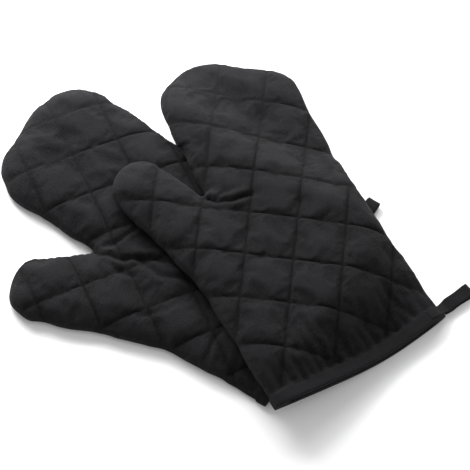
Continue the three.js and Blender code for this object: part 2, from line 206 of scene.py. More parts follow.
class Mitt:
    def __init__(self, name, corners, seed):
        self.name = name
        self.seed = seed
        self.rim, self.middles = outline(corners)
        self.left, self.right = corners[0][0], corners[-1][0]
        fold = joints[f"{name}_finger_fold"]
        self.crotch = self.middles[4]
        self.hinge = np.array(fold["pos_m"]) * 1000
        axis = np.array(joints["lower_finger_fold"]["axis"] if name == "lower" else [1.0, 0, 0])
        self.turn = np.array([[axis[0], -axis[1]], [axis[1], axis[0]]])
        self.shift = self.hinge[:2] - self.turn @ np.array(FOLD_AT)
        self.split = self.crotch @ ACROSS_WARP  # quilting seam at the thumb's root
        shift = round(SEAM_SHIFT * WARP_SQUARE / NET) if name == "lower" else 0
        self.warp_start = self.split - shift * WARP_SQUARE / round(WARP_SQUARE / NET)
        self.weft_start = WEFT_START - shift * WEFT_SQUARE / round(WEFT_SQUARE / NET)

    def cuff(self, x):
        t = (2 * x - self.left - self.right) / (self.right - self.left)
        return -CUFF_BOW * (1 - t * t)

    def lift(self, p):
        return np.zeros(len(p))

    def section(self, p):
        """Half thickness, half hand space and middle height over flat points."""
        d = nearest(p, self.rim)[0]
        up = p[:, 1] - self.cuff(p[:, 0])
        body = smooth((up - TAPE_WIDTH) / 45)
        swell = np.sqrt(1 - (1 - np.minimum(1, d / PUFF_REACH)) ** 2)
        puff = mix(HALF_CUFF, HALF_PUFF, body) * swell
        opening = smooth((d - SEAM_WIDTH) / mix(12, 28, body))
        space = GAP / 2 + (mix(CUFF_SPACE, HALF_SPACE, body) - GAP / 2) * opening
        rest = mix(HALF_CUFF + GAP + TAPE, HALF_PUFF, body)
        pressed = FLATTEN * (1 - smooth(up / 45)) * smooth(d / 30)
        middle = rest - SEAM_DROP * (1 - swell) + self.lift(p) - pressed
        return puff - pressed, space - pressed * opening, middle, d, up

    def place(self, p, z):
        """Flat points and heights of this mitt as row frame points in metres."""
        return np.column_stack([p @ self.turn.T + self.shift, z]) / 1000

    def spot(self, x, y, z):
        return Vector(self.place(np.array([[x, y]], float), np.array([z]))[0])


lower = Mitt("lower", LOWER_SHAPE, 1)
upper = Mitt("upper", UPPER_SHAPE, 2)
tip = lower.right + 32
edge = [*lower.rim, (tip, 3), (tip, -6), (lower.right, -4)]
edge += [(x, lower.cuff(x) - GAP - TAPE) for x in (41, -2, -45)]
footprint = np.array(edge, float)


def draped(p):
    """How high the lower mitt holds the upper one."""
    held = np.column_stack([p[:, 0], np.maximum(p[:, 1], upper.cuff(p[:, 0]) + TAPE_WIDTH)])
    world = held @ upper.turn.T + upper.shift
    q = (world - lower.shift) @ lower.turn
    loop = np.vstack([footprint, footprint[:1]])
    clear = np.where(inside(q, footprint), 0, nearest(q, loop)[0])
    return (2 * HALF_PUFF + STACK_GAP) * (1 - smooth((clear - 4) / DRAPE))


upper.lift = draped


# ---------------------------------------------------------------- cloth nets
def flat_net(mitt, pitch, inset=0.0):
    """Triangles over the plan, with points on every quilting seam."""
    rim = mitt.rim
    if inset:
        near = resample(rim, 1.0)
        way = np.gradient(near, axis=0)
        way /= np.linalg.norm(way, axis=1)[:, None]
        moved = near + inset * np.column_stack([way[:, 1], -way[:, 0]])
        keep = nearest(moved, rim)[0] > inset * 0.97
        rim = moved[keep]
        rim[0, 1] = rim[-1, 1] = 0
    for k in range(len(rim) - 1):
        a, b = rim[k] @ ACROSS_WARP - mitt.split, rim[k + 1] @ ACROSS_WARP - mitt.split
        if rim[k][0] < mitt.crotch[0] - 20 and rim[k][1] < 190 and a * b < 0:
            heel, heel_at = mix(rim[k], rim[k + 1], a / (a - b)), k + 1
            break
    crotch_at = int(np.argmin(np.linalg.norm(rim - mitt.crotch, axis=1)))
    thumb_side = np.vstack([heel, rim[heel_at : crotch_at + 1]])
    spans = [np.vstack([rim[:heel_at], heel]), thumb_side, rim[crotch_at:]]
    side = np.vstack([resample(s, pitch)[:-1] for s in spans] + [rim[-1:]])
    x = np.linspace(rim[-1, 0], rim[0, 0], int((rim[-1, 0] - rim[0, 0]) / pitch) + 1)
    cuff = np.column_stack([x, mitt.cuff(x)])
    side[0], side[-1] = cuff[-1], cuff[0]
    border = np.vstack([side, cuff[1:-1]])
    span = np.arange(-240, 241)
    i, j = (g.ravel() for g in np.meshgrid(span, span))
    basis = np.array([ACROSS_WARP, ACROSS_WEFT])
    warp_step = WARP_SQUARE / round(WARP_SQUARE / pitch)
    weft_step = WEFT_SQUARE / round(WEFT_SQUARE / pitch)
    lattice = np.column_stack([mitt.split + i * warp_step, mitt.weft_start + j * weft_step])
    lattice = lattice @ np.linalg.inv(basis).T
    box = (np.abs(lattice[:, 0]) < 130) & (lattice[:, 1] > -15) & (lattice[:, 1] < 330)
    lattice = lattice[box]
    lattice = lattice[inside(lattice, border)]
    far = nearest(lattice, np.vstack([border, border[:1]]))[0] > 0.62 * pitch
    points = np.vstack([border, lattice[far]])
    n = len(border)
    ring = [(k, (k + 1) % n) for k in range(n)]
    out = delaunay_2d_cdt([Vector(p) for p in points], ring, [list(range(n))[::-1]], 1, 1e-5)
    coords = np.array([tuple(v) for v in out[0]])
    faces = np.array([f for f in out[2] if len(f) == 3])
    a, b, c = (coords[faces[:, k]] for k in range(3))
    area = (b[:, 0] - a[:, 0]) * (c[:, 1] - a[:, 1]) - (b[:, 1] - a[:, 1]) * (c[:, 0] - a[:, 0])
    faces[area < 0] = faces[area < 0][:, ::-1]
    faces = faces[np.abs(area) > 1e-4]
    seam = nearest(coords, side)[0] < 1e-3
    hem = (np.abs(coords[:, 1] - mitt.cuff(coords[:, 0])) < 1e-3) & (coords[:, 1] < 0.5)
    return {"p": coords, "faces": faces, "seam": seam, "hem": hem}


def seam_gap(p, start, across, square):
    """Distance to the nearest quilting seam of one direction."""
    t = ((p @ across) - start) / square
    return np.abs(t - np.round(t)) * square


def quilted(mitt, p):
    one = seam_gap(p, mitt.warp_start, ACROSS_WARP, WARP_SQUARE)
    two = seam_gap(p, mitt.weft_start, ACROSS_WEFT, WEFT_SQUARE)
    return one, two


def two_faced(net):
    """Joins a top and a bottom copy of a net along the side seam."""
    n = len(net["p"])
    below = np.arange(n)
    free = ~net["seam"]
    below[free] = n + np.arange(free.sum())
    faces = np.vstack([net["faces"], below[net["faces"]][:, ::-1]])
    plan = np.vstack([net["p"], net["p"][free]])
    upward = np.concatenate([np.ones(n), -np.ones(free.sum())])
    upward[:n][net["seam"]] = 0
    return plan, faces, upward, np.concatenate([net["hem"], net["hem"][free]])


def new_mesh(name, points, faces):
    mesh = bpy.data.meshes.new(name)
    mesh.from_pydata([tuple(p) for p in points], [], [tuple(int(k) for k in f) for f in faces])
    mesh.update()
    piece = bpy.data.objects.new(name, mesh)
    bpy.context.scene.collection.objects.link(piece)
    return piece


def coordinates(mesh):
    flat = np.zeros(len(mesh.vertices) * 3, np.float32)
    mesh.vertices.foreach_get("co", flat)
    return flat.reshape(-1, 3).astype(float)


def swell_cloth(name, points, faces, held):
    """Lets a net billow between its held points and gives back where it ends up."""
    piece = new_mesh(name, points, faces)
    group = piece.vertex_groups.new(name="held")
    hold = np.round(held, 2)
    for weight in sorted(set(hold)):
        if weight > 0:
            group.add([int(k) for k in np.nonzero(hold == weight)[0]], float(weight), "ADD")
    cloth = piece.modifiers.new("cloth", "CLOTH")
    s = cloth.settings
    s.quality = 4
    s.mass = 0.12
    s.tension_stiffness = s.compression_stiffness = 12
    s.shear_stiffness = 4
    s.bending_stiffness = 0.35
    s.vertex_group_mass = "held"
    s.pin_stiffness = 1
    s.shrink_min = -SWELL_GROWTH
    s.use_pressure = True
    s.uniform_pressure_force = SWELL_PRESSURE
    s.effector_weights.gravity = 0
    cloth.collision_settings.use_collision = False
    scene = bpy.context.scene
    cloth.point_cache.frame_start, cloth.point_cache.frame_end = 1, SWELL_FRAMES
    for f in range(1, SWELL_FRAMES + 1):
        scene.frame_set(f)
    result = coordinates(piece.evaluated_get(bpy.context.evaluated_depsgraph_get()).data)
    scene.frame_set(1)
    mesh = piece.data
    bpy.data.objects.remove(piece)
    bpy.data.meshes.remove(mesh)
    return result


CREASES = {
    "upper": [
        ([(-27, 190), (-23, 182), (-12, 174), (10, 170)], 2.6, 2.2),
        ([(-28, 188), (-22, 176), (-14, 166)], 1.1, 2.0),
        ([(-29, 190), (-38, 178), (-46, 171)], 0.9, 2.4),
        ([(-27, 188), (-28, 172), (-34, 158)], 1.2, 2.2),
        ([(-24, 186), (-8, 184), (2, 180)], 0.8, 2.0),
        ([(60, 12), (54, 26), (50, 42)], 1.1, 2.6),
        ([(20, 8), (17, 22), (22, 34)], 1.0, 2.6),
        ([(-4, 6), (-6, 18), (-2, 30)], 1.0, 2.4),
        ([(-30, 10), (-24, 22), (-26, 34)], 1.0, 2.6),
        ([(-52, 6), (-50, 18), (-56, 30)], 1.0, 2.4),
    ],
    "lower": [
        ([(-26, 190), (-14, 176), (4, 168), (22, 170)], 1.8, 2.4),
        ([(-28, 188), (-27, 166), (-14, 142), (-10, 120)], 2.8, 2.6),
        ([(-30, 186), (-38, 162), (-36, 140)], 1.4, 2.6),
        ([(-32, 184), (-50, 168), (-64, 160)], 0.9, 3.0),
        ([(-20, 150), (-26, 128), (-18, 104), (-22, 84)], 1.8, 2.8),
        ([(-66, 126), (-50, 108), (-34, 98)], 0.9, 2.8),
        ([(-76, 60), (-58, 62), (-42, 56)], 1.1, 2.6),
        ([(-78, 34), (-60, 38), (-46, 34)], 1.1, 2.6),
    ],
}


def creased(mitt, p, face):
    """How far wrinkles push the cloth in."""
    depth = np.zeros(len(p))
    for line, deep, wide in CREASES[mitt.name]:
        path = resample(np.array(line, float), 3)
        d, _ = nearest(p, path)
        fade = smooth(np.linalg.norm(p - path[-1], axis=1) / CREASE_FADE)
        fold = np.exp(-((d / wide) ** 2))
        ridge = 0.3 * np.exp(-(((d - 2.2 * wide) / wide) ** 2))
        depth += (deep if face > 0 else deep * 0.5) * fade * (fold - ridge)
    return depth


def cuff_gathers(mitt, p, up):
    """Small folds that the binding draws into the cloth."""
    along = p[:, 0]
    phase = along / 9.5 * 2 * math.pi + 1.3 * np.sin(along / 23 + mitt.seed) + 0.5 * np.sin(along / 7.1)
    reach = 10 + 9 * (0.5 + 0.5 * np.sin(along / 17.0 + 2 * mitt.seed))
    return np.exp(-np.maximum(up - TAPE_WIDTH, 0) / reach) * (0.5 + 0.5 * np.sin(phase)) ** 1.5


def cover(mitt):
    """The quilted outer cloth of one mitt, both faces, before it is split.

    row says which quilting seams a point lies on: 1 warp, 2 weft, 3 both.
    """
    net = flat_net(mitt, NET)
    plan, faces, upward, hem = two_faced(net)
    flat_places = plan.copy()
    one, two = quilted(mitt, plan)
    puff, _, middle, d, up = mitt.section(plan)
    pillow = np.minimum(one, two) / (WEFT_SQUARE / 2)
    seam = upward == 0
    # the side seam is drawn in where a quilting seam reaches it
    normal = np.gradient(mitt.rim, axis=0)
    index = np.array([np.argmin(np.linalg.norm(mitt.rim - q, axis=1)) for q in plan])
    normal = normal[index] / np.maximum(np.linalg.norm(normal[index], axis=1), 1e-9)[:, None]
    outward = np.column_stack([-normal[:, 1], normal[:, 0]])
    scallop = (1.6 * smooth(pillow * 1.6) - 0.4) * np.exp(-d / 9) * smooth((up - 12) / 20)
    if mitt.name == "upper":  # its right side is drawn in at mid height
        waist = np.exp(-(((plan[:, 1] - 96) / 26) ** 2))
        scallop -= 2.6 * waist * np.exp(-d / 12) * (plan[:, 0] > 40)
    plan = plan + outward * scallop[:, None]
    fade = 0.45 + 0.55 * smooth((300 - plan[:, 1]) / 110)
    near = np.minimum(one, two)
    valley = fade * VALLEY * (0.62 * np.exp(-near / 2.4) + 0.38 * np.exp(-((near / 10) ** 2)))
    valley *= smooth((d + 1.5) / 9)
    # painted shade: groove darkens the cloth's colour along each quilting seam
    groove = fade * np.exp(-near / 1.7) * smooth(d / 5) * smooth((up - 9) / 3)
    clear = smooth((up - TAPE_WIDTH + 1.5) / 5)
    gathers = 1.7 * cuff_gathers(mitt, plan, up) * smooth(d / 6) * clear
    drift = 0.55 * waves(plan, 70, mitt.seed) + 0.28 * waves(plan, 27, mitt.seed + 5)
    sink = valley * clear + gathers + (drift + 0.7) * smooth(d / 16) * clear + 0.1
    top, bottom = upward > 0, upward < 0
    crease = np.where(top, creased(mitt, plan, 1), 0.4 * creased(mitt, plan, -1)) * smooth(d / 3)
    sink += crease
    # painted shade: the creases are darkened as well
    groove = np.maximum(groove, np.clip(crease / 4.5, 0, 0.75))
    z = middle + upward * (puff - np.maximum(sink, -0.3))
    base = middle + upward * puff
    start = mitt.place(plan, z)
    on_seam = (one < 0.05) | (two < 0.05)
    held = np.where(seam | hem | (up < HEM_HOLD), 1.0, np.where(on_seam, 0.97, 0.0))
    held = np.where((held == 0) & (sink > VALLEY * 0.95), 0.35, held)
    moved = swell_cloth(f"{mitt.name}_net", start, faces, held)
    step = (moved - start) * 1000
    size = np.linalg.norm(step, axis=1)
    step *= (SWELL_CAP / np.maximum(size, SWELL_CAP))[:, None]
    start = start + step / 1000
    z = start[:, 2] * 1000
    z = np.where(top, np.minimum(z, base + PROUD), np.where(bottom, np.maximum(z, base - PROUD), z))
    z = np.maximum(z, OFF_FLOOR)
    start[:, 2] = z / 1000
    # relief: how far the cloth sinks below its plain section; it also drives painted shade in the hollows
    relief = np.clip((base - z) * upward / 3.0, -0.3, 1.0)
    row = np.where(one < 0.05, 1, 0) + np.where(two < 0.05, 2, 0)
    return {
        "plan": plan, "net": flat_places, "points": start, "faces": faces, "upward": upward,
        "relief": relief, "groove": groove,
        "row": np.where(seam | (up < TAPE_WIDTH + 0.5), 0, row),
    }


def thumb_faces(mitt, plan, faces):
    centre = plan[faces].mean(1)
    return (centre @ ACROSS_WARP > mitt.split) & (centre[:, 0] < mitt.crotch[0] - 0.3)


def piece_of(name, points, plan, faces, marks=None, material=None):
    """A mesh from part of a net, with its flat plan as UV."""
    used = np.unique(faces)
    index = np.full(len(points), -1)
    index[used] = np.arange(len(used))
    piece = new_mesh(name, points[used], index[faces])
    uv = piece.data.uv_layers.new(name="pattern")
    corner = np.zeros(len(piece.data.loops), np.int32)
    piece.data.loops.foreach_get("vertex_index", corner)
    uv.data.foreach_set("uv", (plan[used][corner] / 100).astype(np.float32).ravel())
    for mark, values in (marks or {}).items():
        spot = piece.data.attributes.new(mark, "FLOAT", "POINT")
        spot.data.foreach_set("value", values[used].astype(np.float32))
    piece.data.polygons.foreach_set("use_smooth", np.ones(len(piece.data.polygons), bool))
    piece.data.materials.append(material)
    return piece


def only(piece):
    bpy.ops.object.select_all(action="DESELECT")
    piece.select_set(True)
    bpy.context.view_layer.objects.active = piece


def thicken(piece, thickness):
    """Gives a cloth its thickness, inwards."""
    only(piece)
    wall = piece.modifiers.new("thickness", "SOLIDIFY")
    wall.thickness = thickness / 1000
    wall.offset = -1
    bpy.ops.object.modifier_apply(modifier="thickness")
    bpy.ops.object.shade_smooth_by_angle(angle=math.radians(65))


# ---------------------------------------------------------------- finishes
def socket(group, name, kind, way, value=None):
    made = group.interface.new_socket(name=name, in_out=way, socket_type=kind)
    if value is not None:
        made.default_value = value
    return made


def make_cotton_group():
    """Woven cotton: threads, slubs, lint, wear with painted light on the high places and painted shade in
    the grooves.
    """
    g = bpy.data.node_groups.new("woven_cotton", "ShaderNodeTree")
    socket(g, "Vector", "NodeSocketVector", "INPUT")
    socket(g, "Cloth", "NodeSocketColor", "INPUT", (0.03, 0.03, 0.032, 1))
    socket(g, "Worn", "NodeSocketColor", "INPUT", (0.06, 0.06, 0.064, 1))
    socket(g, "Threads", "NodeSocketFloat", "INPUT", 100.0)
    socket(g, "Relief", "NodeSocketFloat", "INPUT", 0.0)
    socket(g, "Groove", "NodeSocketFloat", "INPUT", 0.0)
    socket(g, "Lint", "NodeSocketFloat", "INPUT", 0.5)
    socket(g, "Color", "NodeSocketColor", "OUTPUT")
    socket(g, "Roughness", "NodeSocketFloat", "OUTPUT")
    socket(g, "Height", "NodeSocketFloat", "OUTPUT")
    n, l = g.nodes, g.links
    ins, outs = n.new("NodeGroupInput"), n.new("NodeGroupOutput")

    def math_node(kind, a, b=None, clamp=False):
        m = n.new("ShaderNodeMath")
        m.operation = kind
        m.use_clamp = clamp
        for k, v in enumerate((a, b)):
            if v is None:
                continue
            if isinstance(v, (int, float)):
                m.inputs[k].default_value = v
            else:
                l.new(v, m.inputs[k])
        return m.outputs[0]

    def noise(vector, scale, detail, rough=0.5):
        t = n.new("ShaderNodeTexNoise")
        t.inputs["Scale"].default_value = scale
        t.inputs["Detail"].default_value = detail
        t.inputs["Roughness"].default_value = rough
        l.new(vector, t.inputs["Vector"])
        return t.outputs["Fac"]

    def mix_colour(fac, a, b):
        m = n.new("ShaderNodeMix")
        m.data_type = "RGBA"
        if isinstance(fac, float):
            m.inputs[0].default_value = fac
        else:
            l.new(fac, m.inputs[0])
        for k, v in ((6, a), (7, b)):
            if isinstance(v, tuple):
                m.inputs[k].default_value = v
            else:
                l.new(v, m.inputs[k])
        return m.outputs[2]

    vec = ins.outputs["Vector"]
    slub = noise(vec, 60.0, 3.0)
    shifted = n.new("ShaderNodeVectorMath")
    shifted.operation = "MULTIPLY_ADD"
    l.new(slub, shifted.inputs[0])
    shifted.inputs[1].default_value = (0.004, 0.004, 0.004)
    l.new(vec, shifted.inputs[2])
    split = n.new("ShaderNodeSeparateXYZ")
    l.new(shifted.outputs[0], split.inputs[0])
    u = math_node("MULTIPLY", split.outputs["X"], ins.outputs["Threads"])
    v = math_node("MULTIPLY", split.outputs["Y"], ins.outputs["Threads"])
    warp = math_node("ABSOLUTE", math_node("SINE", math_node("MULTIPLY", u, math.pi)))
    weft = math_node("ABSOLUTE", math_node("SINE", math_node("MULTIPLY", v, math.pi)))
    over = math_node("SINE", math_node("MULTIPLY", math_node("ADD", u, v), math.pi))
    over = math_node("GREATER_THAN", over, 0.0)
    weave = n.new("ShaderNodeMix")
    l.new(over, weave.inputs[0])
    l.new(warp, weave.inputs[2])
    l.new(weft, weave.inputs[3])
    weave = weave.outputs[0]
    soft = noise(vec, 3.0, 4.0)
    fuzz = noise(vec, 260.0, 4.0, 0.7)
    specks = math_node("GREATER_THAN", noise(vec, 95.0, 2.0, 0.6), 0.735)
    # partly wear and partly painted light and shade: high places get the worn and lit colour, sunk places
    # keep the dark cloth colour
    high = math_node("SUBTRACT", 0.55, ins.outputs["Relief"], True)
    wear_and_shade = math_node("MULTIPLY", high, math_node("ADD", soft, 0.2), True)
    colour = mix_colour(wear_and_shade, ins.outputs["Cloth"], ins.outputs["Worn"])
    gaps = math_node("MULTIPLY", math_node("SUBTRACT", 1.0, weave), 0.35)
    colour = mix_colour(gaps, colour, (0.004, 0.004, 0.0045, 1))
    patch = math_node("MULTIPLY_ADD", noise(vec, 1.4, 2.0), 0.5)
    patch.node.inputs[2].default_value = 0.0
    colour = mix_colour(math_node("MULTIPLY", patch, 0.5), colour, ins.outputs["Worn"])
    streaks = []
    for stretch in ((14.0, 110.0, 1.0), (110.0, 14.0, 1.0)):
        pulled = n.new("ShaderNodeVectorMath")
        pulled.operation = "MULTIPLY"
        l.new(vec, pulled.inputs[0])
        pulled.inputs[1].default_value = stretch
        streaks.append(noise(pulled.outputs[0], 1.0, 3.0, 0.6))
    streak = math_node("SUBTRACT", math_node("MULTIPLY", math_node("ADD", *streaks), 0.5), 0.40)
    streak = math_node("MULTIPLY", streak, 4.0, True)
    colour = mix_colour(math_node("MULTIPLY", streak, 0.75), colour, ins.outputs["Worn"])
    flecks = math_node("MULTIPLY", math_node("SUBTRACT", noise(vec, 70.0, 3.0, 0.65), 0.42), 3.4, True)
    colour = mix_colour(math_node("MULTIPLY", flecks, 0.55), colour, ins.outputs["Worn"])
    # painted shade: the colour is darkened towards near black in the quilting grooves and creases
    deep = math_node("MULTIPLY", ins.outputs["Groove"], 0.8)
    colour = mix_colour(deep, colour, (0.002, 0.002, 0.0022, 1))
    lint = math_node("MULTIPLY", specks, math_node("MULTIPLY", ins.outputs["Lint"], 0.25))
    colour = mix_colour(lint, colour, (0.30, 0.30, 0.29, 1))
    l.new(colour, outs.inputs["Color"])
    rough = math_node("ADD", 0.80, math_node("MULTIPLY", fuzz, 0.18))
    l.new(rough, outs.inputs["Roughness"])
    height = math_node("ADD", math_node("MULTIPLY", weave, 0.6), math_node("MULTIPLY", fuzz, 0.5))
    height = math_node("ADD", height, math_node("MULTIPLY", slub, 0.9))
    height = math_node("ADD", height, math_node("MULTIPLY", streak, 0.8))
    l.new(height, outs.inputs["Height"])
    return g


COTTON = make_cotton_group()


def cloth_material(name, cloth, worn_and_lit, threads, lint, depth, sheen, uses_relief=True):
    m = bpy.data.materials.new(name)
    m.use_nodes = True
    n, l = m.node_tree.nodes, m.node_tree.links
    shader = n["Principled BSDF"]
    weave = n.new("ShaderNodeGroup")
    weave.node_tree = COTTON
    place = n.new("ShaderNodeUVMap")
    place.uv_map = "pattern"
    l.new(place.outputs["UV"], weave.inputs["Vector"])
    weave.inputs["Cloth"].default_value = (*cloth, 1)
    weave.inputs["Worn"].default_value = (*worn_and_lit, 1)
    weave.inputs["Threads"].default_value = threads
    weave.inputs["Lint"].default_value = lint
    if uses_relief:
        relief = n.new("ShaderNodeAttribute")
        relief.attribute_name = "relief"
        l.new(relief.outputs["Fac"], weave.inputs["Relief"])
        # groove carries the painted shade of the grooves and creases
        groove = n.new("ShaderNodeAttribute")
        groove.attribute_name = "groove"
        l.new(groove.outputs["Fac"], weave.inputs["Groove"])
    l.new(weave.outputs["Color"], shader.inputs["Base Color"])
    l.new(weave.outputs["Roughness"], shader.inputs["Roughness"])
    bump = n.new("ShaderNodeBump")
    bump.inputs["Strength"].default_value = 0.75
    bump.inputs["Distance"].default_value = depth
    l.new(weave.outputs["Height"], bump.inputs["Height"])
    l.new(bump.outputs["Normal"], shader.inputs["Normal"])
    shader.inputs["Sheen Weight"].default_value = sheen
    shader.inputs["Sheen Roughness"].default_value = 0.45
    shader.inputs["Specular IOR Level"].default_value = 0.10
    return m


# name, cloth colour, worn and lit colour (wear, and painted light on the high places), threads, lint, bump
# depth, sheen
SHELL_CLOTH = cloth_material(
    "black_quilted_cotton", (0.0016, 0.0016, 0.0018), (0.0138, 0.0138, 0.0153),
    130.0, 0.6, 0.0006, 0.018,
)
LINING_CLOTH = cloth_material(
    "black_lining_cotton", (0.010, 0.010, 0.011), (0.018, 0.018, 0.0195),
    150.0, 0.2, 0.0003, 0.03, False,
)
TAPE_CLOTH = cloth_material(
    "black_binding_tape", (0.003, 0.003, 0.0034), (0.011, 0.011, 0.0122),
    160.0, 0.4, 0.0004, 0.03, False,
)
THREAD = cloth_material(
    "black_sewing_thread", (0.004, 0.004, 0.0044), (0.008, 0.008, 0.009),
    400.0, 0.0, 0.0001, 0.02, False,
)
WADDING = cloth_material(
    "grey_cotton_wadding", (0.05, 0.05, 0.048), (0.08, 0.08, 0.076),
    20.0, 0.0, 0.001, 0.1, False,
)


# ---------------------------------------------------------------- the mitts
def bend_hand(piece, mitt):
    """Bakes the cloth of the hand and fingers into place; the span of the finger fold is worked out but
    nothing bends.
    """
    z = mitt.hinge[2]
    x, y = FOLD_AT
    start, end = mitt.spot(x, y - FOLD_ZONE, z), mitt.spot(x, y + FOLD_ZONE, z)
    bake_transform(piece)


def bend_thumb(piece, mitt):
    z = mitt.hinge[2]
    root = mitt.crotch - 40 * np.array([math.cos(WARP), math.sin(WARP)])
    start, end = (mitt.spot(*(root + reach * ACROSS_WARP), z) for reach in THUMB_ZONE)
    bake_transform(piece)


def dress(piece, mitt, thumb, kind):
    (bend_thumb if thumb else bend_hand)(piece, mitt)
    parts = ["thumb"] if thumb else ["hand", "fingers"]
    nodes = [f"{mitt.name}_{face}_{kind}_{part}" for face in ("back", "palm") for part in parts]
    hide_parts(*nodes)


def make_cover(mitt):
    skin = cover(mitt)
    thumb = thumb_faces(mitt, skin["plan"], skin["faces"])
    for is_thumb in (False, True):
        name = f"{mitt.name}_thumb_cover" if is_thumb else f"{mitt.name}_hand_cover"
        faces = skin["faces"][thumb == is_thumb]
        marks = {"relief": skin["relief"], "groove": skin["groove"]}
        piece = piece_of(name, skin["points"], skin["plan"], faces, marks, SHELL_CLOTH)
        thicken(piece, SHELL)
        dress(piece, mitt, is_thumb, "shell")
    return skin


def room_under(mitt, skin, p):
    """How far the cover stands off the middle, above and below each flat point."""
    plan = (skin["points"][:, :2] * 1000 - mitt.shift) @ mitt.turn
    stand = np.abs(skin["points"][:, 2] * 1000 - mitt.section(plan)[2])
    rooms = []
    for face in (1, -1):
        chosen = np.nonzero((skin["upward"] == face) | (skin["upward"] == 0))[0]
        tree = KDTree(len(chosen))
        for k in chosen:
            tree.insert((plan[k, 0], plan[k, 1], 0), int(k))
        tree.balance()
        found = (tree.find_range((q[0], q[1], 0), SEARCH) for q in p)
        rooms.append(np.array([min((stand[k] for _, k, _ in spots), default=0.8) for spots in found]))
    return rooms


def sides_of(faces):
    """Each triangle's three sides, as pairs of points."""
    return np.vstack([faces[:, [0, 1]], faces[:, [1, 2]], faces[:, [2, 0]]])


def closed_slab(tris, low, high):
    """Two copies of a net joined round their edges."""
    n = len(low)
    known = {(a, b) for a, b in sides_of(tris).tolist()}
    rimmed = sorted((a, b) for a, b in known if (b, a) not in known)
    walls = [(a, b, b + n) for a, b in rimmed] + [(a, b + n, a + n) for a, b in rimmed]
    return np.vstack([low, high]), np.vstack([tris + n, tris[:, ::-1], np.array(walls)])


def make_inner(mitt, skin, kind, pitch, material):
    """A layer under the cover: its two faces, each a closed slab."""
    net = flat_net(mitt, pitch, 1.5 * SEAM_WIDTH if kind == "lining" else 2.25 * SEAM_WIDTH)
    p, tris = net["p"], net["faces"]
    puff, space, middle, d, _ = mitt.section(p)
    rooms = room_under(mitt, skin, p)
    thumb = thumb_faces(mitt, p, tris)
    for is_thumb in (False, True):
        part = tris[thumb == is_thumb]
        used = np.unique(part)
        index = np.full(len(p), -1)
        index[used] = np.arange(len(used))
        points, plan, faces = [], [], []
        for face, room in ((1, rooms[0]), (-1, rooms[1])):
            steep = 1.6 * np.exp(-d / 7)
            cloth_out = np.minimum(space + LINING * 0.7, room - SHELL - LINING_ROOM - steep)
            outer = np.minimum(puff - SHELL - GAP, room - SHELL - WADDING_ROOM - steep)
            inner = np.minimum(cloth_out + LAYER_ROOM, outer - LEAST_WADDING)
            if kind == "lining":
                outer, inner = cloth_out, cloth_out - LINING * 0.7
            inner, outer = np.maximum(inner, 0.05), np.maximum(outer, 0.15)
            near, far = middle + face * inner, middle + face * outer
            low, high = (near, far) if face > 0 else (far, near)
            made, tri = closed_slab(
                index[part], mitt.place(p[used], low[used]), mitt.place(p[used], high[used])
            )
            faces.append(tri + sum(len(q) for q in points))
            points.append(made)
            plan += [p[used], p[used]]
        name = f"{mitt.name}_thumb_{kind}" if is_thumb else f"{mitt.name}_hand_{kind}"
        piece = piece_of(name, np.vstack(points), np.vstack(plan), np.vstack(faces), None, material)
        dress(piece, mitt, is_thumb, kind)


# ---------------------------------------------------------------- tape
def flat_tape(name, columns, rows):
    """A flat strip of tape, ready to be folded; gives its places from 0 to 1."""
    bpy.ops.object.select_all(action="DESELECT")
    bpy.ops.mesh.primitive_grid_add(x_subdivisions=columns, y_subdivisions=rows, size=2)
    piece = bpy.context.object
    piece.name = piece.data.name = name
    spots = (coordinates(piece.data)[:, :2] + 1) / 2
    piece.data.uv_layers[0].name = "pattern"
    return piece, spots


def lay(piece, spots, points, length, width):
    """Folds a flat tape into place and sizes its weave."""
    piece.data.vertices.foreach_set("co", points.astype(np.float32).ravel())
    corner = np.zeros(len(piece.data.loops), np.int32)
    piece.data.loops.foreach_get("vertex_index", corner)
    uv = spots[corner] * (length / 100, width / 100)
    piece.data.uv_layers["pattern"].data.foreach_set("uv", uv.astype(np.float32).ravel())
    piece.data.update()


def finish_tape(piece, thickness, material, columns, offset=1):
    """Closes the strip's ends, thickens it outwards (offset 1) or evenly (0), rounds it."""
    only(piece)
    bpy.ops.object.mode_set(mode="EDIT")
    bpy.ops.mesh.select_all(action="SELECT")
    bpy.ops.mesh.remove_doubles(threshold=0.000002)
    bpy.ops.object.mode_set(mode="OBJECT")
    # a quarter of the way along, the first row of both tapes faces up
    if piece.data.polygons[columns // 4].normal.z <= 0:
        bpy.ops.object.mode_set(mode="EDIT")
        bpy.ops.mesh.select_all(action="SELECT")
        bpy.ops.mesh.flip_normals()
        bpy.ops.object.mode_set(mode="OBJECT")
    wall = piece.modifiers.new("thickness", "SOLIDIFY")
    wall.thickness = thickness / 1000
    wall.offset = offset
    edge = piece.modifiers.new("edge", "BEVEL")
    edge.width = thickness * 0.00028
    edge.segments = 2
    edge.limit_method = "ANGLE"
    for modifier in ("thickness", "edge"):
        bpy.ops.object.modifier_apply(modifier=modifier)
    bpy.ops.object.shade_smooth_by_angle(angle=math.radians(50))
    points = coordinates(piece.data)
    points[:, 2] = np.maximum(points[:, 2], 0.0001)
    piece.data.vertices.foreach_set("co", points.astype(np.float32).ravel())
    piece.data.update()
    piece.data.materials.append(material)


